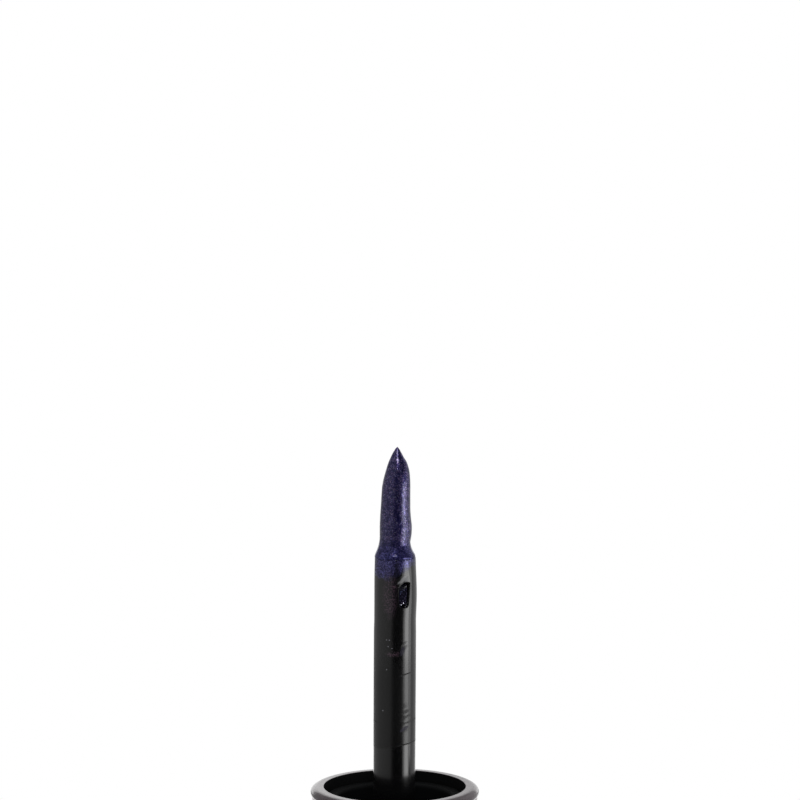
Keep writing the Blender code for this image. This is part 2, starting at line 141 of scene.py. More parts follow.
def turned(outline, facets=192, across=0.0, dress=None):
    """Turn an outline about an upright axis into one closed skin, then let dress shift its points."""
    shape = bmesh.new()
    rings = []
    for radius, height in outline:
        count = facets if radius > 1e-6 else 1
        ring = []
        for index in range(count):
            angle = 2 * math.pi * index / facets
            point = Vector((radius * math.cos(angle), radius * math.sin(angle), height))
            if dress:
                point = dress(point)
            ring.append(shape.verts.new(point + Vector((across, 0, 0))))
        rings.append(ring)
    pairs = list(zip(rings, rings[1:]))
    if len(rings[0]) > 1:
        pairs.append((rings[-1], rings[0]))
    for lower, upper in pairs:
        band(shape, lower, upper)
    return shape


def lathed(name, material, corners, **how):
    """Turn an outline's corners into one closed piece."""
    return piece_from(name, turned(rounded(corners), **how), material)


def arithmetic(operation, reflected=False):
    """A method for Wire that adds one Math node."""

    def method(self, other=0.0):
        tree = self.socket.id_data
        step = tree.nodes.new("ShaderNodeMath")
        step.operation = operation
        for slot, value in zip(step.inputs, (other, self) if reflected else (self, other)):
            if isinstance(value, Wire):
                tree.links.new(value.socket, slot)
            else:
                slot.default_value = value
        return Wire(step.outputs[0])

    return method


class Wire:
    """A node's output that plain arithmetic works on."""

    def __init__(self, socket):
        self.socket = socket

    def outputs(self):
        """Every output of the same node, by name."""
        return {slot.name: Wire(slot) for slot in self.socket.node.outputs}

    __add__ = arithmetic("ADD")
    __radd__ = arithmetic("ADD", reflected=True)
    __sub__ = arithmetic("SUBTRACT")
    __rsub__ = arithmetic("SUBTRACT", reflected=True)
    __mul__ = arithmetic("MULTIPLY")
    __rmul__ = arithmetic("MULTIPLY", reflected=True)
    __truediv__ = arithmetic("DIVIDE")
    __pow__ = arithmetic("POWER")
    __abs__ = arithmetic("ABSOLUTE")
    capped = arithmetic("MINIMUM")
    at_least = arithmetic("MAXIMUM")
    sine = arithmetic("SINE")


class Bench:
    """A node tree being wired up: node() makes every node that isn't plain arithmetic."""

    def __init__(self, tree):
        self.tree = tree
        tree.nodes.clear()

    def node(self, kind, settings, sockets, out=0):
        made = self.tree.nodes.new(kind)
        for name, value in settings.items():
            if name == "stops":
                ramp = made.color_ramp
                while len(ramp.elements) < len(value):
                    ramp.elements.new(0.5)
                for element, (place, colour) in zip(ramp.elements, value):
                    element.position = place
                    element.color = (*colour, 1)
            else:
                setattr(made, name, value)
        for name, value in sockets.items():
            if isinstance(value, Wire):
                self.tree.links.new(value.socket, made.inputs[name])
            else:
                slot = made.inputs[name]
                slot.default_value = (*value, 1) if slot.type == "RGBA" else value
        return Wire(made.outputs[out]) if made.outputs else None

    def axes(self, vector):
        """A vector's three parts, in millimetres."""
        parts = self.node("ShaderNodeSeparateXYZ", {}, {"Vector": vector}).outputs()
        return [parts[axis] * 1000.0 for axis in "XYZ"]

    def grain(self, vector, size, detail=2.0, roughness=0.5):
        """Soft noise from 0 to 1 whose blotches are about this many millimetres across."""
        sockets = {"Vector": vector, "Scale": 1000.0 / size, "Detail": detail, "Roughness": roughness}
        return self.node("ShaderNodeTexNoise", {}, sockets, 0)

    def cells(self, vector, size):
        """Three chances from 0 to 1 for each cell, whose size is in millimetres."""
        sockets = {"Vector": vector, "Scale": 1000.0 / size}
        colour = self.node("ShaderNodeTexVoronoi", {}, sockets, "Color")
        channels = self.node("ShaderNodeSeparateColor", {}, {"Color": colour}).outputs()
        return list(channels.values())

    def step(self, value, low, high):
        """0 at low, 1 at high, smooth between."""
        settings = {"interpolation_type": "SMOOTHSTEP"}
        return self.node("ShaderNodeMapRange", settings, {"Value": value, 1: low, 2: high}, 0)

    def layered(self, base, *layers):
        """A colour with others laid over it in turn, each a share and a colour."""
        for share, colour in layers:
            sockets = {0: share, 6: base, 7: colour}
            base = self.node("ShaderNodeMix", {"data_type": "RGBA"}, sockets, 2)
        return base

    def bump(self, height, strength, distance):
        """A bumped normal. The distance is in metres."""
        sockets = {"Height": height, "Strength": strength, "Distance": distance}
        return self.node("ShaderNodeBump", {}, sockets, 0)

    def surface(self, sockets):
        """End the finish in one Principled surface."""
        shader = self.node("ShaderNodeBsdfPrincipled", {}, sockets, 0)
        self.node("ShaderNodeOutputMaterial", {}, {"Surface": shader})


def new_finish(name):
    """A new material, its bench, and the point on the piece, in metres."""
    material = bpy.data.materials.new(name)
    material.use_nodes = True
    bench = Bench(material.node_tree)
    return material, bench, bench.node("ShaderNodeTexCoord", {}, {}, "Object")


PLUM = (0.066, 0.050, 0.057)
PLUM_PEARL = (0.30, 0.24, 0.28)
PLUM_SCUFF = (0.34, 0.31, 0.33)

plum_lacquer, bench, spot = new_finish("plum_lacquer")
across, _, up = bench.axes(spot)
pearl_tone = bench.cells(spot, 0.0625)[0]
pearl_share = bench.step(pearl_tone, 0.70, 1.0) * 0.26
smudge = bench.grain(spot, 7.0, 4.0)
cap_foot, cap_lip, rim_radius, _ = measured("cap_shell")
edge = bench.step(up, cap_lip - 0.32, cap_lip - 0.02)
scuff = edge * bench.step(bench.grain(spot, 0.35, 5.0, 0.7), 0.56, 0.70)
flat_spot = bench.node("ShaderNodeVectorMath", {"operation": "MULTIPLY"}, {0: spot, 1: (1.0, 1.0, 0.0)})
outward = bench.node("ShaderNodeVectorMath", {"operation": "NORMALIZE"}, {0: flat_spot})
brushed = bench.node("ShaderNodeTexNoise", {}, {"Vector": outward, "Scale": 42.0, "Detail": 3.0})
rubbed = edge * (bench.step(across, -2.0, 7.0) * 0.40 + scuff * 0.30 + (brushed - 0.5) * 0.35)
colour = bench.layered(PLUM, (pearl_share, PLUM_PEARL), (scuff * 0.45, PLUM_SCUFF))
peel = bench.grain(spot, 0.55, 1.0)
mottle = bench.grain(spot, 0.6, 3.0, 0.6)
relief = bench.bump(peel + pearl_tone * 0.2 + edge * mottle * 4.0, 0.12, 0.00005)
bench.surface({
    "Base Color": colour,
    "Metallic": 0.45,
    "Roughness": 0.24 + smudge * 0.10 + scuff * 0.25,
    "Coat Weight": 1.0 - rubbed,
    "Coat Roughness": 0.05,
    "Normal": relief,
})

bare_inside, bench, spot = new_finish("black_washed_inside")
wash = bench.grain(spot, 1.5, 3.0)
bench.surface({
    "Base Color": bench.layered((0.0020, 0.0022, 0.0024), (wash, (0.0036, 0.0040, 0.0044))),
    "Roughness": 0.60 + wash * 0.15,
    "Specular IOR Level": 0.15,
    "Normal": bench.bump(wash, 0.1, 0.00005),
})

RIM_PROUD = 0.15
CAP_WALL = 1.1
CAP_FLOOR = 1.6
FOOT_ROUND = 0.8
LEDGE_HEIGHT = 4.0
LEDGE_WIDTH = 0.9
FIT_GAP = 0.2
cap_radius = rim_radius - RIM_PROUD
cap_bore = cap_radius - CAP_WALL
ledge = measured("inner_cap")[0] + LEDGE_HEIGHT
cap = lathed("lacquered_cap", plum_lacquer, [
    (0, cap_foot),
    (cap_radius, cap_foot, FOOT_ROUND),
    (cap_radius, cap_lip - 1.06, 0.08),
    (cap_radius - 0.07, cap_lip - 0.98, 0.03),
    (cap_radius - 0.07, cap_lip - 0.90, 0.03),
    (rim_radius - 0.06, cap_lip - 0.80, 0.08),
    (rim_radius, cap_lip - 0.66, 0.12),
    (rim_radius, cap_lip - 0.29, 0.42),
    (rim_radius - 0.5, cap_lip, 1.0),
    (cap_bore, cap_lip, 0.03),
    (cap_bore, ledge),
    (cap_bore - LEDGE_WIDTH, ledge),
    (cap_bore - LEDGE_WIDTH, cap_foot + CAP_FLOOR, 0.4),
    (0, cap_foot + CAP_FLOOR),
])
cap.data.materials.append(bare_inside)
for face in cap.data.polygons:
    facing_axis = face.normal.x * face.center.x + face.normal.y * face.center.y < 0
    if facing_axis and face.center.z < (cap_lip - 0.02) * MM:
        face.material_index = 1
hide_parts("cap_shell")
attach(cap, "applicator")

# Cap weight: a turned steel slug pressed into the cap's closed end, so that the cap stands
# firmly on it. Bright drawn bar with fine lathe lines, hidden once the inner cap is in.
bright_steel, bench, spot = new_finish("bright_steel")
up = bench.axes(spot)[2]


def lathe_lines(bench, along):
    """Fine turning marks from 0 to 1 along this measure."""
    sockets = {"W": along, "Detail": 3.0, "Roughness": 0.6}
    return bench.node("ShaderNodeTexNoise", {"noise_dimensions": "1D"}, sockets)


def refinish(node, material):
    """Give a CAD piece its finish and leave its shape alone."""
    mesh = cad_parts[node].data
    mesh.materials.clear()
    mesh.materials.append(material)


haze = bench.grain(spot, 1.6, 4.0)
bench.surface({
    "Base Color": bench.layered((0.66, 0.66, 0.67), (haze, (0.50, 0.50, 0.53))),
    "Metallic": 1.0,
    "Roughness": 0.16 + haze * 0.16,
    "Normal": bench.bump(lathe_lines(bench, up * 14.0), 0.25, 0.00002),
})
refinish("cap_weight", bright_steel)

# Inner cap: the black moulding that is pressed into the shell, screws onto the neck and holds
# the wand's root. Satin polypropylene with an inside thread and grip bars round its barrel.
BLACK = (0.0045, 0.0048, 0.0052)
DUSTY_BLACK = (0.014, 0.014, 0.015)

black_moulding, bench, spot = new_finish("black_moulding")
spark = bench.grain(spot, 0.09, 2.0, 0.6)
flow = bench.grain(spot, 3.5, 3.0)
dust = bench.step(bench.grain(spot, 0.22, 4.0, 0.7), 0.66, 0.76)
bench.surface({
    "Base Color": bench.layered(BLACK, (dust * 0.5, DUSTY_BLACK)),
    "Roughness": 0.66 + flow * 0.12 + dust * 0.2,
    "Specular IOR Level": 0.06,
    "Normal": bench.bump(spark, 0.18, 0.00003),
})

inner_foot, inner_top, inner_radius, _ = measured("inner_cap")
THREAD_WALL = 1.15
BARREL_RELIEF = 0.3
LAND_HEIGHT = 1.2
SOCKET_RADIUS = 3.25
SOCKET_BORE = 1.95
SOCKET_DEPTH = 5.0
WEB_THICKNESS = 1.6
thread_bore = inner_radius - THREAD_WALL
barrel = inner_radius - BARREL_RELIEF
web_back = ledge + FIT_GAP
web_face = web_back + WEB_THICKNESS
BAR_COUNT = 12
BAR_PROUD = 0.2
BAR_WIDTH = 1.0
bar_reach = math.degrees(BAR_WIDTH / 2 / barrel)


def with_grip_bars(point):
    """Raise twelve upright bars on the outside of the barrel."""
    radius = math.hypot(point.x, point.y)
    turn = math.degrees(math.atan2(point.y, point.x)) % (360 / BAR_COUNT)
    off_bar = min(turn, 360 / BAR_COUNT - turn)
    along = web_back + LAND_HEIGHT < point.z < inner_top - LAND_HEIGHT - 0.05
    if abs(radius - barrel) < 0.01 and along and off_bar <= bar_reach:
        return Vector((point.x, point.y, 0)) * (1 + BAR_PROUD / barrel) + Vector((0, 0, point.z))
    return point


inner_cap = lathed("threaded_inner_cap", black_moulding, [
    (0, inner_foot),
    (SOCKET_RADIUS, inner_foot, 0.3),
    (SOCKET_RADIUS, web_back, 0.1),
    (barrel, web_back),
    (barrel, web_back + 1.3),
    (barrel, inner_top - 1.3),
    (barrel, inner_top - LAND_HEIGHT),
    (inner_radius, inner_top - LAND_HEIGHT),
    (inner_radius, inner_top, 0.12),
    (thread_bore, inner_top, 0.35),
    (thread_bore, web_face, 0.15),
    (SOCKET_BORE, web_face),
    (SOCKET_BORE, web_face - SOCKET_DEPTH),
    (0, web_face - SOCKET_DEPTH),
], dress=with_grip_bars)
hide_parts("inner_cap")
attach(inner_cap, "applicator")


def new_tree(name, floats, vectors=()):
    """A Geometry Nodes tree with these inputs and a finish, its bench, and each input's wire."""
    tree = bpy.data.node_groups.new(name, "GeometryNodeTree")
    kinds = dict(Geometry="Geometry", **dict.fromkeys(floats, "Float"))
    kinds.update(dict.fromkeys(vectors, "Vector"), Finish="Material")
    for title, kind in kinds.items():
        tree.interface.new_socket(title, in_out="INPUT", socket_type="NodeSocket" + kind)
    tree.interface.new_socket("Geometry", in_out="OUTPUT", socket_type="NodeSocketGeometry")
    bench = Bench(tree)
    return tree, bench, bench.node("NodeGroupInput", {}, {}).outputs()


def end_tree(bench, geometry, finish):
    """End a tree in one real mesh with its finish."""
    real = bench.node("GeometryNodeRealizeInstances", {}, {"Geometry": geometry})
    coated = bench.node("GeometryNodeSetMaterial", {}, {"Geometry": real, "Material": finish})
    bench.node("NodeGroupOutput", {}, {"Geometry": coated})


# The tree draws a ridge that climbs a round wall and dies away at both ends.
sizes = ("Wall Radius", "Turns", "Rise", "Ridge Depth", "Ridge Width")
screw_thread, bench, given = new_tree("screw_thread", sizes, ("Place",))
spiral = bench.node("GeometryNodeCurveSpiral", {}, {
    "Resolution": 96,
    "Rotations": given["Turns"],
    "Start Radius": given["Wall Radius"],
    "End Radius": given["Wall Radius"],
    "Height": given["Rise"],
})
along = bench.node("GeometryNodeSplineParameter", {}, {}, "Factor")
fade = ((0.5 - abs(along - 0.5)) * 9.0).capped(1.0).at_least(0.04)
faded = bench.node("GeometryNodeSetCurveRadius", {}, {"Curve": spiral, "Radius": fade})
upright = bench.node("GeometryNodeSetCurveNormal", {"mode": "Z_UP"}, {"Curve": faded})
profile = bench.node("GeometryNodeCurvePrimitiveQuadrilateral", {"mode": "TRAPEZOID"}, {
    "Bottom Width": given["Ridge Width"],
    "Top Width": given["Ridge Width"] * 0.36,
    "Height": given["Ridge Depth"] * 2.0,
    "Offset": 0.0,
})
rounded_profile = bench.node("GeometryNodeFilletCurve", {"mode": "POLY"}, {
    "Curve": profile,
    "Count": 3,
    "Radius": given["Ridge Width"] * 0.10,
})
turned_profile = bench.node("GeometryNodeTransform", {}, {
    "Geometry": rounded_profile,
    "Rotation": (0.0, 0.0, math.radians(-90)),
})
ridge = bench.node("GeometryNodeCurveToMesh", {}, {
    "Curve": upright,
    "Profile Curve": turned_profile,
    "Fill Caps": True,
})
placed = bench.node("GeometryNodeTransform", {}, {"Geometry": ridge, "Translation": given["Place"]})
end_tree(bench, placed, given["Finish"])


def keep_result(piece):
    """Turn what a piece's modifiers make into its plain mesh, and drop the modifiers."""
    made = piece.evaluated_get(bpy.context.evaluated_depsgraph_get())
    result = bpy.data.meshes.new_from_object(made)
    piece.modifiers.clear()
    piece.data = result


def grown(name, tree, mesh, values):
    """Run a Geometry Nodes tree on a mesh with these named inputs, and keep the plain result."""
    piece = in_scene(name, mesh)
    step = piece.modifiers.new("grow", "NODES")
    step.node_group = tree
    for item in tree.interface.items_tree:
        if item.in_out == "INPUT" and item.name in values:
            step[item.identifier] = values[item.name]
    keep_result(piece)
    piece.data.name = name
    return piece


def thread_on(name, radius, depth, width, place, finish):
    """A screw thread on a round wall, as a piece of its own. Sizes are in millimetres."""
    thread = grown(name, screw_thread, bpy.data.meshes.new(name), {
        "Wall Radius": radius * MM,
        "Turns": 1.75,
        "Rise": 4.4 * MM,
        "Ridge Depth": depth * MM,
        "Ridge Width": width * MM,
        "Place": Vector(place) * MM,
        "Finish": finish,
    })
    smooth_faces(thread, 50)
    return thread


SUNK_IN_WALL = 0.02
thread_foot = (0, 0, web_face + 4.2)
bore = thread_bore + SUNK_IN_WALL
inside_thread = thread_on("inner_cap_thread", bore, 0.52, 1.25, thread_foot, black_moulding)
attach(inside_thread, "applicator")

# Seal gasket: a die-cut ring of pale closed-cell foam that lies on the inner cap's web, where
# the neck's rim presses on it.
pale_foam, bench, spot = new_finish("pale_foam")
cells = bench.node("ShaderNodeTexVoronoi", {}, {"Vector": spot, "Scale": 7000.0}, "Distance")
shade = bench.grain(spot, 1.2, 3.0)
bench.surface({
    "Base Color": bench.layered(
        (0.60, 0.60, 0.57),
        (bench.step(cells, 0.1, 0.6), (0.76, 0.76, 0.73)),
        (shade * 0.3, (0.66, 0.65, 0.60)),
    ),
    "Roughness": 0.78 + shade * 0.14,
    "Normal": bench.bump(cells, 0.5, 0.00006),
})
refinish("seal_gasket", pale_foam)

# Applicator stem: the moulded gloss-black rod. Its barbed root sits in the inner cap, its flange
# on the web, and its tip end is bored and cut with the snap window. Liner has run down it.
BLUE_TINT = (0.16, 0.17, 0.56)
BARE_GLOSS = (0.0024, 0.0024, 0.0027)

stem_low, stem_top, _, _ = measured("applicator_stem")
STEM_RADIUS = 2.015
STEM_TIP_RADIUS = 1.945
WINDOW_TURN = math.radians(29.5)
WINDOW_LOW = stem_top - 4.52
WINDOW_HIGH = stem_top - 2.20


def liner_glitter(bench, spot, size, crowd):
    """Fine glitter in liner: its colour, how much of the spot it covers, and each cell's chance."""
    pick, hue, luck = bench.cells(spot, size)
    tint = bench.node("ShaderNodeValToRGB", {"stops": [
        (0.0, (0.12, 0.10, 0.37)),
        (0.35, (0.21, 0.16, 0.42)),
        (0.62, (0.42, 0.29, 0.54)),
        (0.85, (0.26, 0.28, 0.60)),
        (1.0, (0.60, 0.55, 0.76)),
    ]}, {"Fac": hue})
    return tint, bench.step(pick, 1.0 - crowd, 1.0), luck


def brush(bench, across, up):
    """A brush for soft oval marks from 0 to 1, each at an (across, height), reaching so far each way."""

    def stroke(place, reach, lean=0.0):
        aside = across - place[0]
        sideways = aside / reach[0]
        upwards = (up - place[1] - aside * lean) / reach[1]
        return bench.step(1.0 - (sideways * sideways + upwards * upwards), 0.0, 0.8)

    return stroke


stem_gloss, bench, spot = new_finish("black_gloss_stem")
across, deep, up = bench.axes(spot)
wander = bench.grain(spot, 0.8, 4.0, 0.65)
tint, crowded, luck = liner_glitter(bench, spot, 0.08, 0.75)
tint = bench.layered(tint, (0.65, BLUE_TINT))
stroke = brush(bench, across, up)
right_side = bench.step(across, 0.25, 0.75)
hem = up + wander * 1.6 - right_side * 0.45 - bench.step(across, 1.15, 1.7) * 0.6
film = bench.step(hem, stem_top - 1.15, right_side * 0.5 + (stem_top - 0.40))
# Painted dark reflection: the film is cut back in an upright strip just right of the front's middle, so
# the bare black gloss shows darker where the dark camera side of the studio is reflected.
film = film * (1.0 - stroke((0.20, 80.8), (0.42, 2.0)) * 0.85)
haze = stroke((-0.45, 78.9), (0.85, 2.7))
trail = haze * bench.step(crowded, 0.55, 1.0)
blush = stroke((-0.15, 73.2), (0.85, 0.34)) * bench.step(crowded, 0.45, 0.9)
strays = stroke((-0.50, 74.56), (0.075, 0.060))
for place in ((-0.76, 74.56), (-0.62, 73.94), (-0.26, 73.78), (-0.77, 71.70), (-1.12, 67.70)):
    strays = strays + stroke(place, (0.060, 0.055))


def ring_mark(height, slope, width):
    """A fine line round the rod at this height, sloping across the front."""
    off = abs(up - height - across * slope)
    return (1.0 - off / width).at_least(0.0)


line_wander = bench.grain(spot, 1.1, 2.0)
scrape = ring_mark(71.0, 0.22, 0.08) * right_side * bench.step(across, 1.6, 1.4)
scrape = scrape + ring_mark(64.3, 0.14, 0.07) * bench.step(across, -0.2, 0.6)
scrape = scrape + ring_mark(66.55, 0.05, 0.10) * bench.step(abs(across), 1.55, 1.9)
ridges = ((up - across * 0.45 + line_wander * 1.3) * 10.5).sine()
fingered = stroke((0.98, 67.0), (0.62, 1.70)) + stroke((0.88, 73.90), (0.42, 0.72), 0.8) * 1.2
smear = fingered * bench.step(ridges, -0.6, 1.0)
purple = stroke((0.90, 65.95), (0.50, 0.24), 0.5) + stroke((0.74, 73.45), (0.30, 0.50), 0.8) * 0.7
above_line = bench.step(up - across * 0.14, 64.1, 64.3)
residue = above_line * (1.0 - bench.step(up + wander * 2.0, 71.5, 75.5))
frosted = stroke((0.70, 80.30), (0.62, 0.50), 0.3)
# Painted highlight: a light grey fan above the window and a spot at its upper left corner, on the front
# only, standing in for lamp light caught there.
painted_highlight_fan = stroke((0.82, 80.36), (0.44, 0.32), 0.8) + stroke((1.06, 80.30), (0.26, 0.27))
painted_highlight_fan = painted_highlight_fan + stroke((0.40, 80.08), (0.17, 0.15), 0.8)
painted_highlight_fan = painted_highlight_fan.capped(1.0) ** 1.4 * bench.step(deep * -1.0, 0.2, 0.8)
mottle = bench.grain(spot, 0.25, 3.0, 0.7)
dull = (smear * 0.50 + scrape + purple * 0.7 + residue * (0.25 + mottle * 0.3)).capped(0.95)
liner = (wander, (0.016, 0.012, 0.080))
thin_film = bench.layered((0.006, 0.005, 0.042), liner, (crowded * 0.65, tint))
colour = bench.layered(
    BARE_GLOSS,
    (film, thin_film),
    (purple * 0.6, (0.020, 0.016, 0.040)),
    (haze * 0.4, (0.014, 0.009, 0.016)),
    ((trail + blush).capped(1.0) * 0.55, (0.080, 0.045, 0.066)),
    (strays.capped(1.0) * 0.7, (0.50, 0.50, 0.56)),
    # the painted highlight above the window, light grey and streaky
    (painted_highlight_fan * (0.30 + mottle * 1.1), (0.125, 0.125, 0.132)),
)
polish = bench.grain(spot, 2.2, 3.0)
relief = ridges * fingered * 0.3 + scrape + film * luck * 0.5 + polish * 0.35 + strays * 0.4
bench.surface({
    "Base Color": colour,
    "Metallic": (film + strays).capped(1.0) * 0.8,
    "Roughness": 0.20 + film * 0.08 + dull * 0.22 + frosted * 0.15 + mottle * 0.05,
    "Coat Weight": 1.0 - (dull + film * 0.2 + frosted * 0.3 + mottle * 0.08).capped(1.0),
    "Coat Roughness": 0.11,
    "Normal": bench.bump(relief, 0.35, 0.00006),
})

ROOT_RADIUS = 1.6
BARB_RADIUS = 1.75
BARB_COUNT = 3
BARB_LENGTH = 0.9
FLANGE_RADIUS = 2.9
FLANGE_THICKNESS = 0.8
BORE_RADIUS = 1.45
BORE_DEPTH = 10.0
TIP_STEP = 0.12
OUTER_WALL = 1.8
flange_seat = web_face + FIT_GAP
outline = [(0, stem_low), (ROOT_RADIUS, stem_low, 0.1)]
for barb in range(BARB_COUNT):
    barb_top = stem_low + BARB_LENGTH * (barb + 1)
    outline += [(BARB_RADIUS, barb_top), (ROOT_RADIUS, barb_top + 0.02)]
outline = rounded(outline + [
    (ROOT_RADIUS, flange_seat),
    (FLANGE_RADIUS, flange_seat, 0.1),
    (FLANGE_RADIUS, flange_seat + FLANGE_THICKNESS, 0.2),
    (STEM_RADIUS, flange_seat + FLANGE_THICKNESS, 0.1),
    (STEM_RADIUS, stem_top - 7.2),
    (STEM_RADIUS - 0.03, stem_top - 6.0),
    (STEM_RADIUS - 0.03, stem_top - 1.9),
    (STEM_TIP_RADIUS, stem_top, 0.03),
    (BORE_RADIUS, stem_top, 0.08),
    (BORE_RADIUS, stem_top - BORE_DEPTH),
    (0, stem_top - BORE_DEPTH),
])
graded = []
for here, following in zip(outline, outline[1:] + outline[-1:]):
    graded.append(here)
    run = following - here
    outer = here.x > OUTER_WALL and following.x > OUTER_WALL
    if outer and run.length > 0.3 and here.y > stem_top - 7.3:
        pieces = math.ceil(run.length / TIP_STEP)
        for index in range(1, pieces):
            graded.append(here + run * index / pieces)

ROD_LEAN = 0.0045
BULGE_HEIGHT = 78.6
BULGE_PROUD = 0.085
BULGE_SIDE = Vector((0.966, -0.259, 0))
SINK_HEIGHT = 79.8
SINK_DEPTH = 0.10
SINK_WIDTH = 0.45


def snapped_in(point):
    """Lean the rod a hair to the right, bulge its wall there and let it sink above the window."""
    lean = Vector((ROD_LEAN * (point.z - 70.0), 0, 0))
    toward = Vector((point.x, point.y, 0)).normalized()
    near = math.exp(-((point.z - BULGE_HEIGHT) / 1.9) ** 2)
    bulge = toward * (BULGE_PROUD * near * max(0.0, toward.dot(BULGE_SIDE)) ** 2)
    if point.xy.length < OUTER_WALL:
        return point + lean + bulge
    turn = math.atan2(point.x, -point.y) - WINDOW_TURN
    aside = turn * STEM_RADIUS + (80.6 - point.z) * 0.35
    above = point.z - SINK_HEIGHT
    fade = above / (0.95 if above > 0 else 0.5)
    sink = SINK_DEPTH * math.exp(-(aside / SINK_WIDTH) ** 2 - fade ** 2)
    return point + lean + bulge - toward * sink


stem = piece_from("gloss_stem", turned(graded, facets=160, dress=snapped_in), stem_gloss)


def round_wall(corner_path, layers):
    """Wrap a flat outline of (across, up) points round the rod, one layer for each radius.

    A layer's second value grows the outline all round, and its third only at the upper left.
    """
    shape = bmesh.new()
    rings = []
    middle = Vector((0, (WINDOW_LOW + WINDOW_HIGH) / 2))
    for radius, growth, flare in layers:
        ring = []
        for point in corner_path:
            outwards = (point - middle).normalized()
            upper_left = max(0.0, outwards.dot(Vector((-0.45, 0.89)))) ** 8
            out = point + outwards * (growth + flare * upper_left)
            angle = WINDOW_TURN - math.pi / 2 + out.x / STEM_RADIUS
            ring.append(shape.verts.new((radius * math.cos(angle), radius * math.sin(angle), out.y)))
        rings.append(ring)
    for inner, outer in zip(rings, rings[1:]):
        band(shape, inner, outer)
    shape.faces.new(rings[0])
    shape.faces.new(rings[-1])
    return shape


window_path = rounded([
    (-0.62, WINDOW_LOW + 0.02, 0.20),
    (0.36, WINDOW_LOW - 0.12, 0.36),
    (0.58, WINDOW_HIGH, 0.10),
    (-0.05, WINDOW_HIGH + 0.04, 0.20),
    (-0.62, WINDOW_HIGH - 0.42, 0.25),
], hold=1.0)
cutter = piece_from(
    "window_cutter",
    round_wall(window_path, (
        (1.2, 0.0, 0.0),
        (1.91, 0.0, 0.0),
        (1.96, 0.005, 0.07),
        (2.0, 0.02, 0.24),
        (2.06, 0.05, 0.45),
        (3.0, 0.30, 0.70),
    )),
    stem_gloss,
)
cut = stem.modifiers.new("window", "BOOLEAN")
cut.operation = "DIFFERENCE"
cut.solver = "EXACT"
cut.object = cutter
keep_result(stem)
bpy.data.objects.remove(cutter)
smooth_faces(stem, 38)
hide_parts("applicator_stem")
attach(stem, "applicator")

# Tip holder: the small gloss plug that snaps into the stem's bore and grips the felt's root.
# Its coned collar is the shoulder under the nib, and its barbed nub stands in the window.
NAVY_FILM = (0.010, 0.009, 0.042)

holder_low, collar_top, _, _ = measured("tip_holder")
plug_gloss, bench, spot = new_finish("black_gloss_plug")
wander = bench.grain(spot, 0.7, 3.0)
tint, crowded, luck = liner_glitter(bench, spot, 0.09, 0.16)
bench.surface({
    "Base Color": bench.layered((0.002, 0.002, 0.003), (wander * 0.5, NAVY_FILM), (crowded * 0.2, tint)),
    "Roughness": 0.20 + wander * 0.10,
    "Coat Weight": 0.6,
    "Coat Roughness": 0.13,
    "Normal": bench.bump(wander + luck * 0.3, 0.3, 0.00005),
})

SHANK_RADIUS = 1.25
SHANK_CHAMFER = 0.3
collar_foot = stem_top + FIT_GAP
outline = rounded([
    (0, holder_low),
    (SHANK_RADIUS - SHANK_CHAMFER, holder_low),
    (SHANK_RADIUS, holder_low + SHANK_CHAMFER),
    (SHANK_RADIUS, collar_foot),
    (1.76, collar_foot, 0.06),
    (1.74, collar_foot + 0.12, 0.06),
    (1.36, collar_top, 0.04),
    (1.19, collar_top - 0.02),
    (1.05, collar_top - 0.40),
    (0.62, collar_top - 0.86),
    (0, collar_top - 1.03),
])
shape = turned(outline, facets=128)
nub_out = Matrix.Rotation(WINDOW_TURN, 4, "Z")
NUB_LEFT = -0.50
NUB_RIGHT = 0.36
NUB_PAIRS = [
    (0.95, WINDOW_LOW + 0.32, 0.95, WINDOW_LOW + 0.12),
    (1.30, WINDOW_LOW + 0.32, 1.76, WINDOW_LOW + 0.12),
    (1.30, WINDOW_HIGH - 0.95, 1.76, WINDOW_HIGH - 0.50),
    (1.07, WINDOW_HIGH - 0.55, 1.53, WINDOW_HIGH - 0.12),
    (0.95, WINDOW_HIGH - 0.51, 0.95, WINDOW_HIGH - 0.08),
]
nub = bmesh.new()
for left_out, left_height, right_out, right_height in NUB_PAIRS:
    nub.verts.new(nub_out @ Vector((NUB_LEFT, -left_out, left_height)))
    nub.verts.new(nub_out @ Vector((NUB_RIGHT, -right_out, right_height)))
bmesh.ops.convex_hull(nub, input=nub.verts)
bmesh.ops.dissolve_limit(nub, angle_limit=math.radians(3), verts=nub.verts, edges=nub.edges)
bmesh.ops.bevel(nub, geom=nub.edges[:], offset=0.05, segments=3, affect="EDGES", profile=0.5)
nub_mesh = bpy.data.meshes.new("nub")
nub.to_mesh(nub_mesh)
nub.free()
shape.from_mesh(nub_mesh)
holder = piece_from("gloss_tip_holder", shape, plug_gloss)
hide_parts("tip_holder")
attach(holder, "applicator")

# Felt nib: a dense bullet of felt, soaked. A wet skin of glitter liner covers it, bulges at the
# right and laps over the shoulder down to the seam with the stem.
NIB_SPANS = [
    (82.22, -1.900, 1.950), (82.34, -1.890, 1.945), (82.49, -1.850, 1.910),
    (82.87, -1.700, 1.700), (83.26, -1.570, 1.555), (83.64, -1.475, 1.490),
    (84.02, -1.427, 1.545), (84.41, -1.423, 1.605), (85.18, -1.421, 1.635),
    (85.94, -1.395, 1.555), (86.71, -1.345, 1.495), (87.48, -1.295, 1.490),
    (88.25, -1.250, 1.487), (89.02, -1.185, 1.485), (89.78, -1.045, 1.465),
    (90.55, -0.835, 1.385), (91.32, -0.590, 1.160), (91.70, -0.415, 0.925),
    (92.09, -0.235, 0.710), (92.47, -0.010, 0.500), (92.66, 0.110, 0.380),
]
nib_tip = measured("felt_nib")[1]
TIP_LEAN = 0.27
NIB_FACETS = 112
RINGS_PER_SPAN = 5
HEM_INSET = 0.015
SKIN_THICKNESS = 0.09
CUFF_TOP = 83.3


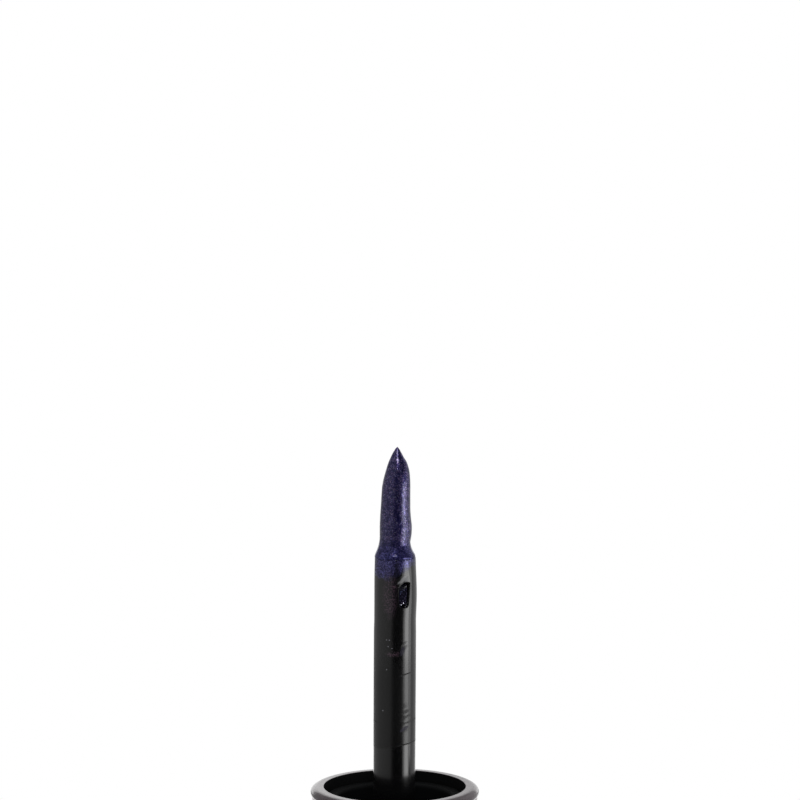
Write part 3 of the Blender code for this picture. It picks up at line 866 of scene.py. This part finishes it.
def curve_through(first, second, third, fourth, share):
    """A smooth value between the second and third of four."""
    first_slope = (third - first) / 2
    last_slope = (fourth - second) / 2
    square = share * share
    cube = square * share
    start = second * (2 * cube - 3 * square + 1) + first_slope * (cube - 2 * square + share)
    return start + third * (3 * square - 2 * cube) + last_slope * (cube - square)


levels = []
for index in range(len(NIB_SPANS) - 1):
    rows = [NIB_SPANS[min(max(index + shift, 0), len(NIB_SPANS) - 1)] for shift in (-1, 0, 1, 2)]
    for step in range(RINGS_PER_SPAN):
        levels.append([curve_through(*column, step / RINGS_PER_SPAN) for column in zip(*rows)])
levels.append(list(NIB_SPANS[-1]))

wet_liner, bench, spot = new_finish("wet_glitter_liner")
across, _, up = bench.axes(spot)
cloud = bench.grain(spot, 1.3, 3.0)
tint, crowded, luck = liner_glitter(bench, spot, 0.075, 0.72)
clot = bench.grain(spot, 0.42, 3.0, 0.65)
crowded = crowded * bench.step(clot, 0.34, 0.62) * 1.35
low_down = 1.0 - bench.step(up + cloud * 1.2, 83.2, 85.0)
tint = bench.layered(tint, (low_down * 0.75, BLUE_TINT))
crowded = crowded.capped(1.0)
liner = (cloud, (0.014, 0.012, 0.092))
colour = bench.layered((0.005, 0.005, 0.048), liner, (crowded * 0.75, tint))
ripple = bench.grain(spot, 1.6, 1.0) * 2.2 + bench.grain(spot, 0.6, 2.0)
near_tip = bench.step(up, 90.4, 91.4)
ripple = ripple * (1.0 - near_tip * 0.6)
luck = luck * (1.0 - near_tip * 0.8)
stroke = brush(bench, across, up)
crusted = stroke((0.60, 85.55), (1.0, 0.50)) + stroke((0.90, 89.7), (1.2, 0.9)) * 0.8
bench.surface({
    "Base Color": colour,
    "Metallic": 0.74 + crowded * 0.24,
    "Roughness": 0.25 + cloud * 0.10 + crusted * 0.08,
    "Coat Weight": 0.85 - (low_down * 0.5 + crusted * 0.3).capped(0.7),
    "Coat Roughness": 0.07,
    "Normal": bench.bump(luck * 0.3 + ripple * 2.0, 0.45, 0.00005),
})


def wet_ring(shape, height, left, right, inset):
    """One slightly lumpy ring of the skin. The inset takes it under the surface."""
    ring = []
    middle = (left + right) / 2
    half = (right - left) / 2
    for index in range(NIB_FACETS):
        angle = 2 * math.pi * index / NIB_FACETS
        toward = Vector((math.cos(angle), math.sin(angle), 0))
        lump = noise.noise(Vector((toward.x * 1.3, toward.y * 1.3, height * 0.9))) * 0.022
        fine_lump = noise.noise(Vector((toward.x * 4.1, toward.y * 4.1, height * 3.0))) * 0.006
        calmer = 1 - 0.6 * abs(toward.x)
        radius = half - inset + (lump + fine_lump) * calmer * min(1, (nib_tip - height) / 2)
        depth = radius * (1 - 0.014 * max(0.0, height - 87.8) ** 2)
        ring.append(shape.verts.new((middle + radius * toward.x, depth * toward.y, height)))
    return ring


shape = bmesh.new()
rings = [wet_ring(shape, *levels[0], HEM_INSET)]
rings += [wet_ring(shape, *level, 0.0) for level in levels[1:]]
tip = shape.verts.new((TIP_LEAN, 0, nib_tip))
inner_rings = [wet_ring(shape, *level, SKIN_THICKNESS) for level in levels if level[0] < CUFF_TOP]
plug = shape.verts.new((0, 0, CUFF_TOP + 0.15))
wall = inner_rings[::-1] + rings
for lower, upper in zip(wall, wall[1:]):
    band(shape, lower, upper)
for index in range(NIB_FACETS):
    following = (index + 1) % NIB_FACETS
    shape.faces.new((wall[-1][index], wall[-1][following], tip))
    shape.faces.new((wall[0][following], wall[0][index], plug))
wet_nib = piece_from("wet_felt_nib", shape, wet_liner, crease=60)
skin = wet_nib.data.copy()
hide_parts("felt_nib")
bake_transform(wet_nib)

# Glitter: hexagonal flakes of metallised film, about a tenth of a millimetre across, that float
# in the liner and lie nearly flat in its skin. Geometry Nodes scatter them with a fixed seed.
glitter, bench, spot = new_finish("glitter_flakes")
tone = bench.node("ShaderNodeAttribute", {"attribute_name": "tone"}, {}, "Fac")
cloud = bench.grain(spot, 0.05, 1.0)
colour = bench.node("ShaderNodeValToRGB", {"stops": [
    (0.0, (0.07, 0.06, 0.26)),
    (0.40, (0.16, 0.12, 0.38)),
    (0.66, (0.30, 0.20, 0.42)),
    (0.90, (0.26, 0.32, 0.66)),
    (1.0, (0.62, 0.62, 0.76)),
]}, {"Fac": tone})
bench.surface({
    "Base Color": colour,
    "Metallic": 0.9,
    "Roughness": 0.22 + cloud * 0.12,
    "Coat Weight": 1.0,
    "Coat Roughness": 0.06,
})

# The tree scatters thin hexagons over a skin, more thinly towards its hem.
sizes = ("Flakes per Square Metre", "Flake Radius", "Hem Height")
flake_tree, bench, given = new_tree("glitter_scatter", sizes)
where = bench.node("GeometryNodeInputPosition", {}, {})
height = bench.node("ShaderNodeSeparateXYZ", {}, {"Vector": where}, "Z")
above = ((height - given["Hem Height"]) / 0.0016).capped(1.0).at_least(0.0)
points = bench.node("GeometryNodeDistributePointsOnFaces", {}, {
    "Mesh": given["Geometry"],
    "Density": given["Flakes per Square Metre"] * above,
    "Seed": 41,
})
tilt = bench.node("FunctionNodeRandomValue", {"data_type": "FLOAT_VECTOR"}, {
    0: (-0.16, -0.16, -3.1),
    1: (0.16, 0.16, 3.1),
    "Seed": 7,
}, 0)
leaning = bench.node("FunctionNodeRotateRotation", {"rotation_space": "LOCAL"}, {
    "Rotation": points.outputs()["Rotation"],
    "Rotate By": tilt,
})
size = bench.node("FunctionNodeRandomValue", {}, {2: 0.45, 3: 1.0, "Seed": 19}, 1)
flake = bench.node("GeometryNodeMeshCylinder", {}, {
    "Vertices": 6,
    "Radius": given["Flake Radius"],
    "Depth": given["Flake Radius"] * 0.16,
})
laid = bench.node("GeometryNodeInstanceOnPoints", {}, {
    "Points": points,
    "Instance": flake,
    "Rotation": leaning,
    "Scale": size,
})
luck = bench.node("FunctionNodeRandomValue", {}, {2: 0.0, 3: 1.0, "Seed": 23}, 1)
toned = bench.node("GeometryNodeStoreNamedAttribute", {"domain": "INSTANCE"}, {
    "Geometry": laid,
    "Name": "tone",
    "Value": luck,
})
end_tree(bench, toned, given["Finish"])
flakes = grown("glitter_in_liner", flake_tree, skin, {
    "Flakes per Square Metre": 2.0e7,
    "Flake Radius": 0.027 * MM,
    "Hem Height": (levels[0][0] - 0.8) * MM,
    "Finish": glitter,
})
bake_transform(flakes)

CAUGHT_FLAKES = [
    (0.09, 1.60, 78.03, 0.085, 4),
    (0.30, 1.74, 77.80, 0.065, 2),
    (-0.12, 1.50, 77.85, 0.050, 6),
    (0.18, 1.68, 77.72, 0.045, -14),
    (-0.17, 1.48, 79.10, 0.050, -14),
    (-0.18, 1.47, 78.98, 0.055, -12),
    (-0.19, 1.46, 78.86, 0.050, -10),
]
shape = bmesh.new()
for sideways, outwards, height, radius, turn in CAUGHT_FLAKES:
    facing = Matrix.Rotation(WINDOW_TURN + math.radians(turn), 4, "Z")
    facing = facing @ Matrix.Rotation(math.radians(90), 4, "X")
    here = Matrix.Translation(nub_out @ Vector((sideways, -outwards, height)))
    size = {"radius1": radius, "radius2": radius, "depth": 0.012}
    bmesh.ops.create_cone(shape, cap_ends=True, segments=6, matrix=here @ facing, **size)
caught = piece_from("glitter_caught_in_window", shape, glitter)
tone = caught.data.attributes.new("tone", "FLOAT", "POINT")
tones = [1.0 if point.co.z < 78.5 * MM else 0.87 for point in caught.data.vertices]
tone.data.foreach_set("value", tones)
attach(caught, "applicator")

# Bottle base: the black moulded plug pressed into the sleeve's foot. The bottle stands on its
# flat ring, and the middle is dished round the moulding gate's mark.
base_foot, base_top, base_radius, bottle_x = measured("bottle_base")
PLUG_RADIUS = 6.8
PLUG_BORE = 5.8
disc_top = base_foot + 1.0
dish = base_foot + 0.18
base = lathed("moulded_bottle_base", black_moulding, [
    (0, base_foot + 0.06),
    (0.55, base_foot + 0.06, 0.05),
    (0.75, dish, 0.06),
    (5.6, dish, 0.1),
    (6.0, base_foot, 0.1),
    (base_radius, base_foot, 0.35),
    (base_radius, disc_top, 0.05),
    (PLUG_RADIUS, disc_top),
    (PLUG_RADIUS, base_top, 0.2),
    (PLUG_BORE, base_top, 0.1),
    (PLUG_BORE, disc_top, 0.1),
    (0, disc_top),
], across=bottle_x)
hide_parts("bottle_base")
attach(base, "bottle")

# Bottle sleeve: the outer tube, lacquered in the same dark plum pearl as the cap. It is slid over
# the vial and held between the base plug and the collar.
SLEEVE_WALL = 0.9
EDGE_ROUND = 0.25
sleeve_foot, sleeve_top, sleeve_radius, _ = measured("bottle_sleeve")
sleeve = lathed("lacquered_sleeve", plum_lacquer, [
    (sleeve_radius - SLEEVE_WALL, sleeve_foot, 0.1),
    (sleeve_radius, sleeve_foot, EDGE_ROUND),
    (sleeve_radius, sleeve_top, EDGE_ROUND),
    (sleeve_radius - SLEEVE_WALL, sleeve_top, 0.1),
], across=bottle_x)
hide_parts("bottle_sleeve")
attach(sleeve, "bottle")

# Inner vial: the black moulded bottle that holds the liner, with its coned shoulder, stop bead and
# threaded neck. Liner has dried in smears round the rim.
vial_foot, vial_top, vial_radius, _ = measured("inner_vial")
NECK_RADIUS = 4.6
NECK_BORE = 3.7
VIAL_WALL = 0.9
VIAL_FLOOR = 1.0
BEAD_PROUD = 0.7
BEAD_HEIGHT = 0.8
SHOULDER_DEPTH = 3.5
GLITTER_VIOLET = (0.33, 0.20, 0.46)
bead_foot = measured("neck_collar")[1] + FIT_GAP
bead_top = bead_foot + BEAD_HEIGHT
shoulder_foot = sleeve_top - SHOULDER_DEPTH


def distance(first, second):
    """How far two offsets at right angles reach together."""
    return (first * first + second * second) ** 0.5


vial_finish, bench, spot = new_finish("black_vial_with_dried_liner")
across, deep, up = bench.axes(spot)
from_axis = distance(across - bottle_x, deep)
spark = bench.grain(spot, 0.10, 2.0, 0.6)
flow = bench.grain(spot, 2.6, 3.0)
ragged = bench.grain(spot, 1.2, 4.0, 0.65)
rim_smear = bench.step(up + ragged * 2.6, vial_top + 0.3, vial_top + 1.2)
inside_smear = bench.step(3.95 - from_axis, 0.0, 0.1)
smear = rim_smear.at_least(inside_smear)
fleck = bench.step(bench.cells(spot, 1 / 9)[0], 0.84, 1.0) * smear
bench.surface({
    "Base Color": bench.layered(BLACK, (smear * 0.8, NAVY_FILM), (fleck * 0.7, GLITTER_VIOLET)),
    "Metallic": fleck * 0.6,
    "Roughness": 0.30 + flow * 0.14 - smear * 0.06,
    "Normal": bench.bump(spark + smear * ragged * 2.0, 0.2, 0.00004),
})
vial = lathed("necked_vial", vial_finish, [
    (0, vial_foot + 0.1),
    (5.2, vial_foot, 0.4),
    (vial_radius, vial_foot, 1.0),
    (vial_radius, shoulder_foot, 0.6),
    (NECK_RADIUS, shoulder_foot + 2.2, 0.3),
    (NECK_RADIUS, bead_foot, 0.1),
    (NECK_RADIUS + BEAD_PROUD, bead_foot, 0.2),
    (NECK_RADIUS + BEAD_PROUD, bead_top, 0.25),
    (NECK_RADIUS, bead_top, 0.15),
    (NECK_RADIUS, vial_top, 0.25),
    (NECK_BORE, vial_top, 0.1),
    (NECK_BORE, shoulder_foot + 1.3, 0.4),
    (vial_radius - VIAL_WALL, shoulder_foot - VIAL_WALL, 0.6),
    (vial_radius - VIAL_WALL, vial_foot + VIAL_FLOOR, 1.0),
    (0, vial_foot + VIAL_FLOOR),
], across=bottle_x)
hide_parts("inner_vial")
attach(vial, "bottle")

thread_foot = (bottle_x, 0, vial_top - 6.9)
neck_thread = thread_on("neck_thread", NECK_RADIUS - SUNK_IN_WALL, 0.55, 1.15, thread_foot, vial_finish)
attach(neck_thread, "bottle")

# Neck collar: a turned aluminium ring, anodised plum, that covers the sleeve's top edge. Its flat
# top shows the fine rings of the lathe.
satin_plum, bench, spot = new_finish("satin_plum_metal")
across, deep, up = bench.axes(spot)
rings_cut = lathe_lines(bench, distance(across - bottle_x, deep) * 22.0 + up * 30.0)
haze = bench.grain(spot, 2.0, 3.0)
bench.surface({
    "Base Color": bench.layered(
        (0.125, 0.098, 0.110),
        (haze, (0.092, 0.074, 0.083)),
        (rings_cut * 0.25, (0.24, 0.20, 0.22)),
    ),
    "Metallic": 0.9,
    "Roughness": 0.26 + rings_cut * 0.14,
    "Normal": bench.bump(rings_cut, 0.3, 0.00003),
})
collar_low, collar_high, collar_radius, _ = measured("neck_collar")
SKIRT_RADIUS = 6.8
SKIRT_BORE = 6.2
seat = sleeve_top + FIT_GAP
collar = lathed("turned_neck_collar", satin_plum, [
    (NECK_RADIUS + FIT_GAP, seat),
    (SKIRT_BORE, seat),
    (SKIRT_BORE, collar_low),
    (SKIRT_RADIUS, collar_low, 0.1),
    (SKIRT_RADIUS, seat),
    (collar_radius, seat, 0.06),
    (collar_radius, collar_high, 0.3),
    (NECK_RADIUS + FIT_GAP, collar_high, 0.12),
], across=bottle_x)
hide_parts("neck_collar")
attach(collar, "bottle")

# Wiper: the soft natural-plastic sleeve pushed into the neck, whose small lip strips the wand.
# Milky where it is clean, and stained by liner round its mouth and down its throat.
wiper_low, wiper_high, wiper_radius, _ = measured("wiper")
soft_natural, bench, spot = new_finish("soft_natural")
across, deep, _ = bench.axes(spot)
from_axis = distance(across - bottle_x, deep)
ragged = bench.grain(spot, 1.0, 4.0, 0.65)
throat = bench.step(3.75 - from_axis + (ragged - 0.5) * 1.3, 0.0, 0.35)
fleck = bench.step(bench.cells(spot, 1 / 9.5)[0], 0.82, 1.0) * throat
bench.surface({
    "Base Color": bench.layered(
        (0.66, 0.66, 0.63),
        (bench.grain(spot, 2.4, 2.0), (0.56, 0.56, 0.55)),
        (throat * 0.94, (0.020, 0.017, 0.060)),
        (fleck * 0.7, GLITTER_VIOLET),
    ),
    "Metallic": fleck * 0.6,
    "Roughness": 0.40 - throat * 0.14,
    "Subsurface Weight": 0.15,
    "Subsurface Radius": (0.0006, 0.0006, 0.0006),
    "Normal": bench.bump(ragged, 0.15, 0.00006),
})
TUBE_RADIUS = 3.5
TUBE_BORE = 3.0
LIP_BORE = 1.8
LIP_WALL = 0.3
LIP_HEIGHT = 2.2
flange_foot = wiper_high - 0.6
wiper = lathed("soft_wiper", soft_natural, [
    (wiper_radius, flange_foot, 0.1),
    (wiper_radius, wiper_high, 0.2),
    (TUBE_BORE + 0.3, wiper_high, 0.15),
    (TUBE_BORE, wiper_high - 0.3, 0.1),
    (TUBE_BORE, wiper_low + LIP_HEIGHT, 0.4),
    (LIP_BORE, wiper_low, 0.05),
    (LIP_BORE + LIP_WALL, wiper_low, 0.05),
    (TUBE_RADIUS, wiper_low + LIP_HEIGHT, 0.4),
    (TUBE_RADIUS, flange_foot, 0.05),
], facets=128, across=bottle_x)
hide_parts("wiper")
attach(wiper, "bottle")

# Mixing ball: a loose steel ball on the vial's floor that stirs the glitter when the bottle is
# shaken. It keeps its CAD shape and takes the polished steel.
refinish("mixing_ball", bright_steel)

# Table: a wide pale sheet that both halves stand on, with their soft contact shadows. Further
# off it is as white as the backdrop, and gloss sees a studio that is dark on the camera's side.
paper, bench, spot = new_finish("pale_table")


def studio_tone(bench, sideways, backwards, share, start):
    """What gloss sees round about: dim at the sides, dark in front and white behind."""
    reach = distance(sideways, backwards).at_least(0.001)
    side = sideways / reach
    behind = backwards / reach
    left = ((behind + 1.0) * 14.0).capped(1.0) * (0.0 - side).at_least(0.0) ** 0.35 * 0.28
    right = bench.step(side, 0.05, 0.5) * bench.step(behind, -0.5, 0.3) * 0.42
    white = bench.step(behind - side.at_least(0.0) * 0.10, start, start + 0.07)
    return left + right + white * (share - 0.1)


def rays(bench):
    """Whether a ray is the camera's, straight or through glass, and whether it left a gloss."""
    path = bench.node("ShaderNodeLightPath", {}, {}).outputs()
    return path["Is Camera Ray"].at_least(path["Is Transmission Ray"]), path["Is Glossy Ray"]


TABLE_RADIUS = 2600.0
across, deep, _ = bench.axes(spot)
off_middle = distance(across - bottle_x / 2, deep)
far = bench.step(off_middle, 60.0, 150.0)
start = bench.step(off_middle, 190.0, 350.0) * 0.2 - bench.step(off_middle, 700.0, 1300.0) * 0.12 + 0.73
seen, glossy_ray = rays(bench)
fibre = bench.grain(spot, 0.8, 3.0)
sheet = bench.node("ShaderNodeBsdfDiffuse", {}, {
    "Color": bench.layered((0.93, 0.93, 0.93), (fibre, (0.90, 0.90, 0.90))),
})
glow = bench.node("ShaderNodeEmission", {}, {
    "Color": (1, 1, 1),
    "Strength": seen + (1.0 - seen) * studio_tone(bench, across, deep, 1.0, start),
})
shader = bench.node("ShaderNodeMixShader", {}, {
    0: far * (seen + glossy_ray).capped(1.0),
    1: sheet,
    2: glow,
})
bench.node("ShaderNodeOutputMaterial", {}, {"Surface": shader})
shape = bmesh.new()
bmesh.ops.create_circle(shape, cap_ends=True, segments=128, radius=TABLE_RADIUS)
table = piece_from("pale_table", shape, paper)
for face in table.data.polygons:
    if face.normal.z < 0:
        table.data.flip_normals()

# Studio light: a white world, a strip softbox with a brighter core standing at the right, whose
# streak runs down the stem, a small softbox high in front and a broad one over the table.
world = bpy.data.worlds.new("studio")
bpy.context.scene.world = world
world.use_nodes = True
bench = Bench(world.node_tree)
direction = bench.node("ShaderNodeTexCoord", {}, {}, "Generated")
sideways, backwards, upwards = bench.axes(direction)
seen, glossy_ray = rays(bench)
steepness = upwards / distance(sideways, backwards).at_least(0.001)
start = bench.step(steepness, 0.08, 0.40) * 0.12 + 0.81
gloss_look = glossy_ray * studio_tone(bench, sideways, backwards, 0.98, start)
soft_look = (1.0 - glossy_ray) * 0.62
background = bench.node("ShaderNodeBackground", {}, {
    "Color": (1, 1, 1),
    "Strength": seen + (1.0 - seen) * (gloss_look + soft_look),
})
bench.node("ShaderNodeOutputWorld", {}, {"Surface": background})

# Each lamp has its place, aim, width, height (all in metres) and brightness.
SOFT_LAMPS = [
    ("strip_softbox", (0.1701933, -0.0586023, 0.048), (0, 0, 0.048), 0.17, 0.092, 1.1),
    ("strip_core", (0.1638499, -0.0695501, 0.048), (0, 0, 0.048), 0.07, 0.088, 1.8),
    ("overhead_softbox", (0.02, -0.34, 0.48), (0, 0, 0.09), 0.13, 0.15, 7.0),
    ("ceiling_softbox", (-0.10, 0.10, 0.75), (0.01, 0, 0.04), 0.6, 0.6, 1.2),
]
for name, place, aim, width, height, brightness in SOFT_LAMPS:
    light = bpy.data.lights.new(name, "AREA")
    light.shape = "RECTANGLE"
    light.size = width
    light.size_y = height
    light.energy = brightness * math.pi * width * height
    lamp = in_scene(name, light)
    lamp.location = place
    lamp.rotation_euler = (Vector(aim) - Vector(place)).to_track_quat("-Z", "Y").to_euler()
    lamp.visible_camera = False
    lamp.visible_glossy = name != "ceiling_softbox"

# Camera: in front of the wand and aimed just above its point, looking a little down, with a long
# lens as in the photograph.
CAMERA_AWAY = 400.0
CAMERA_DOWN = math.radians(8.0)
CAMERA_AIM = Vector((0.505, 0.0, 97.25))
lens = bpy.data.cameras.new("camera")
lens.sensor_width = 36.0
lens.lens = 190.7
lens.clip_start = 0.01
lens.clip_end = 20.0
camera = in_scene("camera", lens)
step_back = Vector((0, -math.cos(CAMERA_DOWN), math.sin(CAMERA_DOWN))) * CAMERA_AWAY
camera.location = (CAMERA_AIM + step_back) * MM
camera.rotation_euler = (-step_back).to_track_quat("-Z", "Y").to_euler()
bpy.context.scene.camera = camera
bpy.context.scene.view_settings.view_transform = "Standard"
